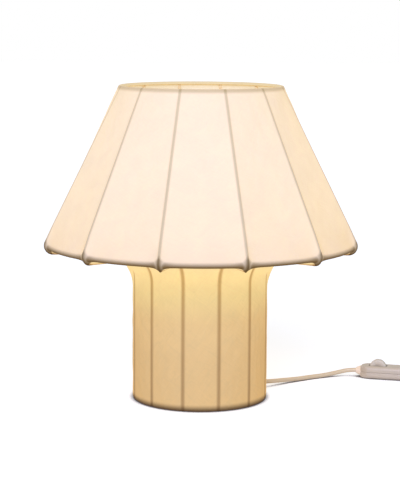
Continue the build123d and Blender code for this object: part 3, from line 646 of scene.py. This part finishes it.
def makeGrainGroup():
    # Moulded or coated surface: fine grain for the height, and slow drifts of tone and gloss.
    group, inside, outside = newGroup(
        "surfaceGrain",
        [
            ("tone", "Color", (0.8, 0.8, 0.8, 1)),
            ("drift", "Float", 0.05),
            ("gloss", "Float", 0.4),
            ("glossDrift", "Float", 0.06),
            ("grainScale", "Float", 2500),
            ("driftScale", "Float", 60),
        ],
        [("Colour", "Color"), ("Roughness", "Float"), ("Height", "Float")],
    )
    given = inside.outputs
    point = objectPoint(group)
    fine = noiseNode(group, point, given["grainScale"], 2.0)
    slow = noiseNode(group, point, given["driftScale"], 3.0)
    centred = mathNode(group, "SUBTRACT", slow, 0.5)
    level = mathNode(group, "MULTIPLY_ADD", centred, given["drift"], 1.0)
    gloss = mathNode(group, "MULTIPLY_ADD", centred, given["glossDrift"], given["gloss"])
    toned = scaleColour(group, given["tone"], level)
    fill(group, outside, {"Colour": toned, "Roughness": gloss, "Height": fine})
    return group


brushedSetup = {
    "stretch": (0.06, 0.06, 1.0),
    "lineShare": 0.22,  # of the lines in the roughness
    "cloudScale": 90.0,
    "cloudRange": (0.35, 0.75),
    "dullTone": (0.72, 0.7, 0.66, 1),
}


def makeBrushedGroup(setup):
    # Drawn or turned metal: lines across the height, and slow clouding.
    group, inside, outside = newGroup(
        "brushedMetal",
        [
            ("tone", "Color", (0.7, 0.7, 0.7, 1)),
            ("gloss", "Float", 0.3),
            ("lineScale", "Float", 900),
        ],
        [("Colour", "Color"), ("Roughness", "Float"), ("Height", "Float")],
    )
    given = inside.outputs
    point = objectPoint(group)
    mapping = {"Vector": point, "Scale": setup["stretch"]}
    stretched = addNode(group, "ShaderNodeMapping", mapping).outputs[0]
    lines = noiseNode(group, stretched, given["lineScale"], 4.0)
    cloud = noiseNode(group, point, setup["cloudScale"], 3.0)
    dull = mixColour(group, 1.0, given["tone"], setup["dullTone"], "MULTIPLY")
    clouded = mapRange(group, cloud, *setup["cloudRange"])
    colour = mixColour(group, clouded, given["tone"], dull)
    rough = mathNode(group, "MULTIPLY_ADD", lines, setup["lineShare"], given["gloss"])
    fill(group, outside, {"Colour": colour, "Roughness": rough, "Height": lines})
    return group


fibreSetup = {
    "threadTurns": (13.0, -9.0),  # radians a metre of height, both ways round
    "threadStretch": 0.18,
    "foldTurns": (16.0, -7.0),
    "foldStretch": 0.3,
    "foldWidth": 0.02,
    "foldDepth": -3.0,
    "distortion": 0.4,
    "blotchDistortion": 0.8,
}


def makeFibreGroup(setup):
    # Cocoon sheet: long fibres and creases wound round it both ways, each a noise of the place
    # turned about the upright by so much a metre of height, and blotches where it is thicker.
    # Fibres and Blotches are factors round 1 for the colour; Creases is 0 along a crease, else 1.
    group, inside, outside = newGroup(
        "cocoonFibres",
        [
            ("fibreScale", "Float", 400),
            ("creaseScale", "Float", 60),
            ("blotchScale", "Float", 40),
            ("fibreShare", "Float", 0.05),
            ("blotchShare", "Float", 0.05),
        ],
        [("Fibres", "Float"), ("Blotches", "Float"), ("Creases", "Float"), ("Height", "Float")],
    )
    given = inside.outputs
    point = objectPoint(group)
    height = addNode(group, "ShaderNodeSeparateXYZ", {0: point}).outputs[2]

    def wound(turn, stretch, scale, detail):
        angle = mathNode(group, "MULTIPLY", height, turn)
        rotation = {"Vector": point, "Angle": angle}
        turned = addNode(group, "ShaderNodeVectorRotate", rotation, rotation_type="Z_AXIS")
        mapping = {"Vector": turned.outputs[0], "Scale": (1, 1, stretch)}
        squeezed = addNode(group, "ShaderNodeMapping", mapping).outputs[0]
        return noiseNode(group, squeezed, given[scale], detail, setup["distortion"])

    def factor(value, share):
        # 1 at the noise's middle, and up or down by the share a quarter away from it.
        centred = mathNode(group, "SUBTRACT", value, 0.5)
        scaled = mathNode(group, "MULTIPLY", centred, given[share])
        return mathNode(group, "MULTIPLY_ADD", scaled, 4.0, 1.0)

    threads = [
        wound(turn, setup["threadStretch"], "fibreScale", 3.0) for turn in setup["threadTurns"]
    ]
    folds = [wound(turn, setup["foldStretch"], "creaseScale", 1.5) for turn in setup["foldTurns"]]
    fibres = mathNode(group, "MULTIPLY", mathNode(group, "ADD", *threads), 0.5)
    ridges = [mathNode(group, "ABSOLUTE", mathNode(group, "SUBTRACT", fold, 0.5)) for fold in folds]
    crease = mathNode(group, "MINIMUM", *ridges)
    blotches = noiseNode(group, point, given["blotchScale"], 4.0, setup["blotchDistortion"])
    results = {
        "Fibres": factor(fibres, "fibreShare"),
        "Blotches": factor(blotches, "blotchShare"),
        "Creases": mapRange(group, crease, 0.0, setup["foldWidth"]),
        "Height": mathNode(group, "MULTIPLY_ADD", crease, setup["foldDepth"], fibres),
    }
    fill(group, outside, results)
    return group


def makeWireGroup():
    # The shadow that a wire throws on the sheet over it: full over the wire, soft beside it.
    group, inside, outside = newGroup(
        "wireShadow",
        [("distance", "Float", 1.0), ("halfWidth", "Float", 0.001), ("softness", "Float", 0.001)],
        [("Mask", "Float")],
    )
    given = inside.outputs
    edge = mathNode(group, "ADD", given["halfWidth"], given["softness"])
    mask = mapRange(group, given["distance"], given["halfWidth"], edge, 1.0, 0.0)
    fill(group, outside, {"Mask": mask})
    return group


grainGroup = makeGrainGroup()
brushedGroup = makeBrushedGroup(brushedSetup)
fibreGroup = makeFibreGroup(fibreSetup)
wireGroup = makeWireGroup()


def newMaterial(name):
    material = bpy.data.materials.new(name)
    material.use_nodes = True
    tree = material.node_tree
    return material, tree, tree.nodes["Principled BSDF"]


def bumpInto(tree, shader, height, strength, distance):
    inputs = {"Height": height, "Strength": strength, "Distance": distance}
    bump = addNode(tree, "ShaderNodeBump", inputs)
    tree.links.new(bump.outputs[0], shader.inputs["Normal"])


# The sheet's material. What is seen is its own colour under the room's light plus its glow.
# The glow's ramp runs from the low height to the high one. The rib, hem, tip and rim marks are
# painted shadows and shade, factors on the glow and the own colour. A shadow's Half is where it is
# full, and its Soft is how much further it fades, in metres from the wire, seam or tip.
skinLooks = {
    "shade": {
        "own": (0.40, 0.42, 0.44, 1),
        "glow": [
            (0.0, (0.65, 0.40, 0.085, 1)),
            (0.22, (0.70, 0.465, 0.135, 1)),
            (0.6, (0.71, 0.485, 0.17, 1)),
            (1.0, (0.71, 0.485, 0.17, 1)),
        ],
        "low": 0.19,
        "high": 0.4,
        "creaseShadeTone": 0.98,
        "inside": (0.79, 0.91, 1.6, 1),
        # painted shade on the inward-facing wrapped edge: a darker, warmer own colour
        "insideOwn": (0.75, 0.6, 0.3, 1),
        # painted shadows of the rib wires: factors on the glow, low down and high up, and on the
        # own colour
        "ribShadowGlowLow": (0.52, 0.5, 0.56, 1),
        "ribGlow": (0.64, 0.62, 0.66, 1),
        "ribOwn": (0.9, 0.84, 0.66, 1),
        "ribHalf": 0.0006,
        "ribSoft": 0.0023,
        # painted shadow of the hem ring near the seam and painted shade at the rib tips: factors on
        # the glow and the own colour
        "hemGlow": (0.13, 0.085, 0.05, 1),
        "hemOwn": (0.38, 0.24, 0.08, 1),
        "hemHalf": 0.0009,
        "hemSoft": 0.0032,
        "seamHalf": 0.0022,
        "seamSoft": 0.008,
        "tipHalf": 0.002,
        "tipSoft": 0.011,
        "bandGlow": (0.7, 0.77, 0.95, 1),
        "bandWidth": 0.010,
        # painted shadow line of the top ring round the mouth
        "rimGlow": (0.6, 0.55, 0.5, 1),
        "rimOwn": (0.88, 0.8, 0.6, 1),
        "rimHalf": 0.0002,
        "rimSoft": 0.0044,
    },
    "base": {
        # painted shade: the same cloth as the shade's, its own colour darker and yellower as in
        # shade under the shade
        "own": (0.34, 0.32, 0.18, 1),
        "glow": [
            (0.0, (0.44, 0.21, 0.04, 1)),
            (0.35, (0.46, 0.23, 0.055, 1)),
            (0.58, (0.515, 0.285, 0.09, 1)),
            (0.75, (0.62, 0.42, 0.155, 1)),
            (0.9, (0.82, 0.57, 0.23, 1)),
            (1.0, (0.82, 0.58, 0.27, 1)),
        ],
        "low": 0.0,
        "high": 0.19,
        "creaseShadeTone": 0.95,
        "inside": (1, 1, 1.2, 1),
        "insideOwn": (1, 1, 1, 1),
        # painted shadows of the rib wires: factors on the glow, low down and high up, and on the
        # own colour
        "ribShadowGlowLow": (0.4, 0.3, 0.25, 1),
        "ribGlow": (0.56, 0.45, 0.34, 1),
        "ribOwn": (0.85, 0.72, 0.58, 1),
        "ribHalf": 0.0005,
        "ribSoft": 0.0034,
        # painted shadow of the hem ring under the seam and painted shade at the rib tips
        "hemGlow": (0.45, 0.34, 0.25, 1),
        "hemOwn": (0.6, 0.5, 0.4, 1),
        "hemHalf": 0.0003,
        "hemSoft": 0.0014,
        "seamHalf": 0.0008,
        "seamSoft": 0.003,
        "tipHalf": 0.001,
        "tipSoft": 0.006,
        "bandGlow": (1, 1, 1, 1),
        "bandWidth": 0.004,
        # painted shade darkening the base towards its bottom edge over the foot ring
        "rimGlow": (0.1, 0.07, 0.06, 1),
        "rimOwn": (0.38, 0.29, 0.22, 1),
        "rimHalf": 0.001,
        "rimSoft": 0.0085,
    },
}
sheetFibres = {
    "fibreScale": 420.0,
    "creaseScale": 60.0,
    "blotchScale": 38.0,
    "fibreShare": 0.05,
    "blotchShare": 0.05,
}
sheetFinish = {"roughness": 0.62, "specular": 0.1, "bump": 0.6, "depth": 0.0004}


def skinMaterial(name, look, inner=False):
    # The glow follows the height and is dimmer in a band above the hem seam; the hem, the rim and
    # the ribs paint their wires' shadows into it and into the own colour, and creases paint shade
    # into the glow. The inner face takes a glow tint of its own, and so does the edge wrapped round
    # the mouth's ring, whose own colour is painted darker and warmer as shade inside the lamp.
    material, tree, shader = newMaterial(name)
    height = addNode(tree, "ShaderNodeSeparateXYZ", {0: objectPoint(tree)}).outputs[2]
    level = mapRange(tree, height, look["low"], look["high"], kind="LINEAR")
    fibres = useGroup(tree, fibreGroup, **sheetFibres)
    tone = mathNode(tree, "MULTIPLY", fibres["Fibres"], fibres["Blotches"])
    # Painted shade: the glow is darker along the creases.
    creased = mapRange(tree, fibres["Creases"], 0.0, 1.0, look["creaseShadeTone"], 1.0, "LINEAR")
    tone = mathNode(tree, "MULTIPLY", tone, creased)
    glow = scaleColour(tree, rampNode(tree, level, look["glow"]), tone)
    own = look["own"]

    def maskOf(key, half, soft):
        distance = attributeNode(tree, key)
        return useGroup(tree, wireGroup, distance=distance, halfWidth=half, softness=soft)["Mask"]

    def shaded(colour, darker, mask):
        return mixColour(tree, mask, colour, mixColour(tree, 1.0, colour, darker, "MULTIPLY"))

    band = maskOf("fromSeam", 0.0, look["bandWidth"])
    rim = maskOf("toRim", look["rimHalf"], look["rimSoft"])
    nearRing = maskOf("toHem", look["hemHalf"], look["hemSoft"])
    nearSeam = maskOf("fromSeam", look["seamHalf"], look["seamSoft"])
    nearTip = maskOf("toTip", look["tipHalf"], look["tipSoft"])
    # The hem mask paints the hem ring's shadow near the seam and shade at the rib tips; the rim
    # mask paints the top ring's shadow line round the mouth, or shade at the base's bottom edge.
    hem = mathNode(tree, "MAXIMUM", mathNode(tree, "MULTIPLY", nearRing, nearSeam), nearTip)
    glow = shaded(glow, look["bandGlow"], band)
    for part, mask in (("hem", hem), ("rim", rim)):
        glow = shaded(glow, look[part + "Glow"], mask)
        own = shaded(own, look[part + "Own"], mask)
    if inner:
        glow = mixColour(tree, 1.0, glow, look["inside"], "MULTIPLY")
    else:
        # Painted shade: on the edge wrapped inward round the mouth's ring the own colour is darker
        # and warmer, and the glow takes the inside's tint.
        inward = attributeNode(tree, "inward")
        # The ribs paint their wires' shadows into the glow and the own colour.
        rib = maskOf("toRib", look["ribHalf"], look["ribSoft"])
        ribGlow = mixColour(tree, level, look["ribShadowGlowLow"], look["ribGlow"])
        glow = shaded(shaded(glow, look["inside"], inward), ribGlow, rib)
        own = shaded(shaded(own, look["insideOwn"], inward), look["ribOwn"], rib)
    finish = {
        "Base Color": own,
        "Emission Color": glow,
        "Emission Strength": 1.0,
        "Roughness": sheetFinish["roughness"],
        "Specular IOR Level": sheetFinish["specular"],
    }
    fill(tree, shader, finish)
    bumpInto(tree, shader, fibres["Height"], sheetFinish["bump"], sheetFinish["depth"])
    return material


for cloth, key in ((shadeCloth, "shade"), (baseCloth, "base")):
    cloth.data.materials.append(skinMaterial(key + "Sheet", skinLooks[key]))
    cloth.data.materials.append(skinMaterial(key + "SheetInside", skinLooks[key], inner=True))
print("Skin materials made")


# Materials of the other pieces; a look says only where it departs from these finishes
mouldedFinish = {
    "drift": 0.08,
    "driftScale": 60.0,
    "gloss": 0.4,
    "glossDrift": 0.1,
    "grain": 2500.0,
    "bump": 0.1,
    "depth": 0.0001,
    "coatRoughness": 0.08,
}
metalFinish = {"gloss": 0.25, "lines": 900.0, "bump": 0.08, "depth": 0.0001}


def mouldedMaterial(name, look):
    # Plastic, paint, felt or glaze: a toned colour with grain, and a glow where the look has one:
    # the bulb's own light, and painted light on the dimmer's nose.
    material, tree, shader = newMaterial(name)
    grain = useGroup(
        tree,
        grainGroup,
        tone=rgb(*look["tone"]),
        drift=look["drift"],
        gloss=look["gloss"],
        glossDrift=look["glossDrift"],
        grainScale=look["grain"],
        driftScale=look["driftScale"],
    )
    fill(tree, shader, {"Base Color": grain["Colour"], "Roughness": grain["Roughness"]})
    if "coat" in look:
        fill(tree, shader, {"Coat Weight": look["coat"], "Coat Roughness": look["coatRoughness"]})
    # A glow: the bulb's own light, and painted light on the dimmer's nose.
    if "glow" in look:
        glow = mixColour(tree, 1.0, grain["Colour"], (*look["glow"], 1), "MULTIPLY")
        fill(tree, shader, {"Emission Color": glow, "Emission Strength": 1.0})
    bumpInto(tree, shader, grain["Height"], look["bump"], look["depth"])
    return material


def metalMaterial(name, look):
    material, tree, shader = newMaterial(name)
    brushed = useGroup(
        tree,
        brushedGroup,
        tone=rgb(*look["tone"]),
        gloss=look["gloss"],
        lineScale=look["lines"],
    )
    metal = {
        "Base Color": brushed["Colour"],
        "Roughness": brushed["Roughness"],
        "Metallic": 1.0,
    }
    fill(tree, shader, metal)
    bumpInto(tree, shader, brushed["Height"], look["bump"], look["depth"])
    return material


mouldedLooks = {
    "powderCoat": {"tone": (238, 220, 184), "gloss": 0.5, "grain": 3000.0, "bump": 0.2},
    "greyFelt": {
        "tone": (74, 71, 68),
        "gloss": 0.95,
        "grain": 900.0,
        "drift": 0.5,
        "bump": 0.8,
        "depth": 0.0006,
    },
    "nylon": {"tone": (232, 229, 220), "gloss": 0.45},
    "flexSheath": {
        "tone": (230, 208, 168),
        "gloss": 0.38,
        "drift": 0.06,
        "grain": 1800.0,
        "bump": 0.06,
    },
    "brownCore": {"tone": (96, 56, 34), "gloss": 0.35},
    "blueCore": {"tone": (52, 98, 170), "gloss": 0.35},
    "holderPlastic": {"tone": (238, 233, 222), "gloss": 0.35, "bump": 0.08},
    "porcelain": {"tone": (240, 237, 228), "gloss": 0.15, "coat": 0.6, "bump": 0.03},
    "blackGlass": {"tone": (26, 26, 28), "gloss": 0.12, "coat": 0.5},
    "bulbPlastic": {"tone": (242, 240, 234), "gloss": 0.3, "bump": 0.05},
    "bulbGlobe": {
        "tone": (255, 246, 226),
        "gloss": 0.25,
        "drift": 0.02,
        "glow": (1.0, 0.97, 0.9),
        "bump": 0.02,
    },
    "whiteBoard": {"tone": (236, 236, 230)},
    "dimmerPlastic": {
        "tone": (206, 190, 162),
        "gloss": 0.42,
        "drift": 0.05,
        "grain": 2200.0,
        "bump": 0.12,
    },
    "wheelPlastic": {"tone": (218, 206, 180), "gloss": 0.45, "drift": 0.06},
    "blackPlastic": {"tone": (34, 34, 35), "gloss": 0.45},
    "greenBoard": {"tone": (38, 98, 58), "gloss": 0.3, "coat": 0.3, "drift": 0.3},
    "terminalPlastic": {"tone": (62, 120, 78)},
    "noseRubber": {
        "tone": (244, 226, 198),
        "gloss": 0.3,
        "drift": 0.04,
        # painted light: the nose is no lamp, and this glow stands in for the lamp's light on it
        "glow": (0.12, 0.1, 0.08),
    },
    "plugPlastic": {"tone": (222, 214, 200), "drift": 0.05},
}
metalLooks = {
    "zincSteel": {"tone": (196, 198, 196), "gloss": 0.28},
    "screwSteel": {"tone": (186, 186, 184), "gloss": 0.3},
    "brass": {"tone": (212, 178, 98), "gloss": 0.22},
    "capMetal": {"tone": (216, 214, 208), "gloss": 0.18},
    "copperWire": {"tone": (196, 108, 60), "gloss": 0.3, "lines": 2600.0, "bump": 0.5},
    "pinNickel": {"tone": (214, 210, 200), "gloss": 0.16},
}
materials = {
    name: mouldedMaterial(name, {**mouldedFinish, **look}) for name, look in mouldedLooks.items()
}
for name, look in metalLooks.items():
    materials[name] = metalMaterial(name, {**metalFinish, **look})

nodeMaterials = {
    "powderCoat": ribNames + ["top_ring", "hem_ring", "foot_ring", "foot_plate"],
    "greyFelt": ["felt_pad"],
    "zincSteel": ["stem", "stem_nuts", "stem_washer"],
    "screwSteel": ["clamp_screws", "terminal_screws", "case_screws", "dimmer_axle"],
    "nylon": ["cord_clamp"],
    "flexSheath": ["inner_flex", "dimmer_leads"],
    "brownCore": ["live_core", "dimmer_cores"],
    "blueCore": ["neutral_core"],
    "holderPlastic": ["holder_cap", "holder_skirt"],
    "porcelain": ["socket_insert"],
    "brass": ["threaded_shell", "centre_contact", "terminals", "bulb_contact"],
    "blackGlass": ["bulb_insulator"],
    "capMetal": ["bulb_cap"],
    "bulbPlastic": ["bulb_housing"],
    "bulbGlobe": ["bulb_globe"],
    "whiteBoard": ["led_board"],
    "blackPlastic": ["potentiometer", "triac"],
    "greenBoard": ["circuit_board"],
    "copperWire": ["choke"],
    "terminalPlastic": ["dimmer_terminals"],
    "pinNickel": ["plug_pins"],
}
for materialName, members in nodeMaterials.items():
    for member in members:
        slots = nodes[member].data.materials
        slots.clear()
        slots.append(materials[materialName])

for piece, materialName in (
    (cordToDimmer, "flexSheath"),
    (cordToPlug, "flexSheath"),
    (dimmerTop, "dimmerPlastic"),
    (dimmerBottom, "dimmerPlastic"),
    (dimmerWheel, "wheelPlastic"),
    (dimmerNoseFront, "noseRubber"),
    (dimmerNoseRear, "noseRubber"),
    (plugCase, "plugPlastic"),
    (plugSleeve, "plugPlastic"),
):
    piece.data.materials.append(materials[materialName])
print("Materials made:", len(bpy.data.materials))


# Stage and light
stageSetup = {
    "floorHalf": 12.0,
    "floorTone": 0.8,
    "floorShare": 0.75,  # of the lit floor in what the camera sees; the rest is plain white
    "floorWhite": 0.72,
    "contactReach": 0.014,
    "contactRange": (0.35, 0.8),  # openness at which the contact shade is full, and gone
    "contactShadowTone": (0.1, 0.085, 0.08, 1),
    "worldLevel": 0.33,
    "keyLevel": 1.95,
    "keyColour": (0.78, 0.88, 1.4),
    "keyFrom": (-0.15, -1.0, 0.55),
    "keySpread": 40.0,  # degrees
    "fillLevel": 0.12,
    "fillColour": (1.0, 0.98, 0.95),
    "fillFrom": (0.9, -0.5, 0.5),
    "fillSpread": 80.0,
}


def addFloor(setup):
    half = setup["floorHalf"]
    x, y = np.meshgrid([-half, half], [-half, half])
    floor = gridPiece("floor", np.stack([x, y, 0 * x], -1))
    material, tree, shader = newMaterial("floorWhite")
    tree.nodes.remove(shader)
    tone = setup["floorTone"]
    shown = tone * setup["floorShare"]
    # What the camera sees of the floor is plain white plus part of the lit floor, both darkened
    # near the pieces by a painted contact shadow from the occlusion.
    reach = {"Distance": setup["contactReach"]}
    near = addNode(tree, "ShaderNodeAmbientOcclusion", reach, samples=8)
    openness = mapRange(tree, near.outputs["AO"], *setup["contactRange"])
    contact = mixColour(tree, openness, setup["contactShadowTone"], (1, 1, 1, 1))
    tinted = mixColour(tree, 1.0, contact, (shown, shown, shown, 1), "MULTIPLY")
    lit = addNode(tree, "ShaderNodeBsdfDiffuse", {"Color": (tone, tone, tone, 1)}).outputs[0]
    seenLit = addNode(tree, "ShaderNodeBsdfDiffuse", {"Color": tinted}).outputs[0]
    glow = {"Color": contact, "Strength": setup["floorWhite"]}
    white = addNode(tree, "ShaderNodeEmission", glow).outputs[0]
    seen = addNode(tree, "ShaderNodeAddShader", {0: seenLit, 1: white}).outputs[0]
    byCamera = addNode(tree, "ShaderNodeLightPath").outputs["Is Camera Ray"]
    choice = addNode(tree, "ShaderNodeMixShader", {0: byCamera, 1: lit, 2: seen})
    tree.links.new(choice.outputs[0], tree.nodes["Material Output"].inputs[0])
    floor.data.materials.append(material)


def addWorld(setup):
    world = bpy.data.worlds.new("studio")
    bpy.context.scene.world = world
    world.use_nodes = True
    tree = world.node_tree
    path = addNode(tree, "ShaderNodeLightPath").outputs
    seen = mathNode(tree, "MAXIMUM", path["Is Camera Ray"], path["Is Glossy Ray"])
    seen = mathNode(tree, "MAXIMUM", seen, path["Is Transmission Ray"])
    level = mapRange(tree, seen, 0.0, 1.0, setup["worldLevel"], 1.0, "LINEAR")
    fill(tree, tree.nodes["Background"], {"Color": (1, 1, 1, 1), "Strength": level})


def addSun(name, level, colour, spread, direction):
    sun = bpy.data.lights.new(name, "SUN")
    sun.energy = level
    sun.color = colour
    sun.angle = math.radians(spread)
    lamp = linked(name, sun)
    lamp.rotation_euler = Vector(direction).to_track_quat("Z", "Y").to_euler()


addFloor(stageSetup)
addWorld(stageSetup)
for sunName in ("key", "fill"):
    addSun(sunName, *[stageSetup[sunName + k] for k in ("Level", "Colour", "Spread", "From")])
print("Stage lit")


# What each piece stands for and moves with
for piece, standsFor, slot, body in (
    (shadeCloth, ["shade_skin"], "shade_fabric", "lamp"),
    (baseCloth, ["base_skin"], "base_fabric", "lamp"),
    (cordToDimmer, ["flex_to_dimmer"], "flex_sheath", "lamp"),
    (cordToPlug, ["flex_to_coil", "flex_coil", "flex_to_plug"], "flex_sheath", "lamp"),
    (dimmerTop, ["dimmer_upper_shell"], "dimmer_plastic", "lamp"),
    (dimmerBottom, ["dimmer_lower_shell"], "dimmer_plastic", "lamp"),
    (dimmerWheel, ["dimmer_wheel"], "wheel_plastic", "dimmer_wheel"),
    (dimmerNoseFront, ["dimmer_noses"], "nose_plastic", "lamp"),
    (dimmerNoseRear, ["dimmer_noses"], "nose_plastic", "lamp"),
    (plugCase, ["plug_body"], "plug_plastic", "lamp"),
    (plugSleeve, ["plug_relief"], "plug_plastic", "lamp"),
):
    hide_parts(*standsFor)
    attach(piece, body)
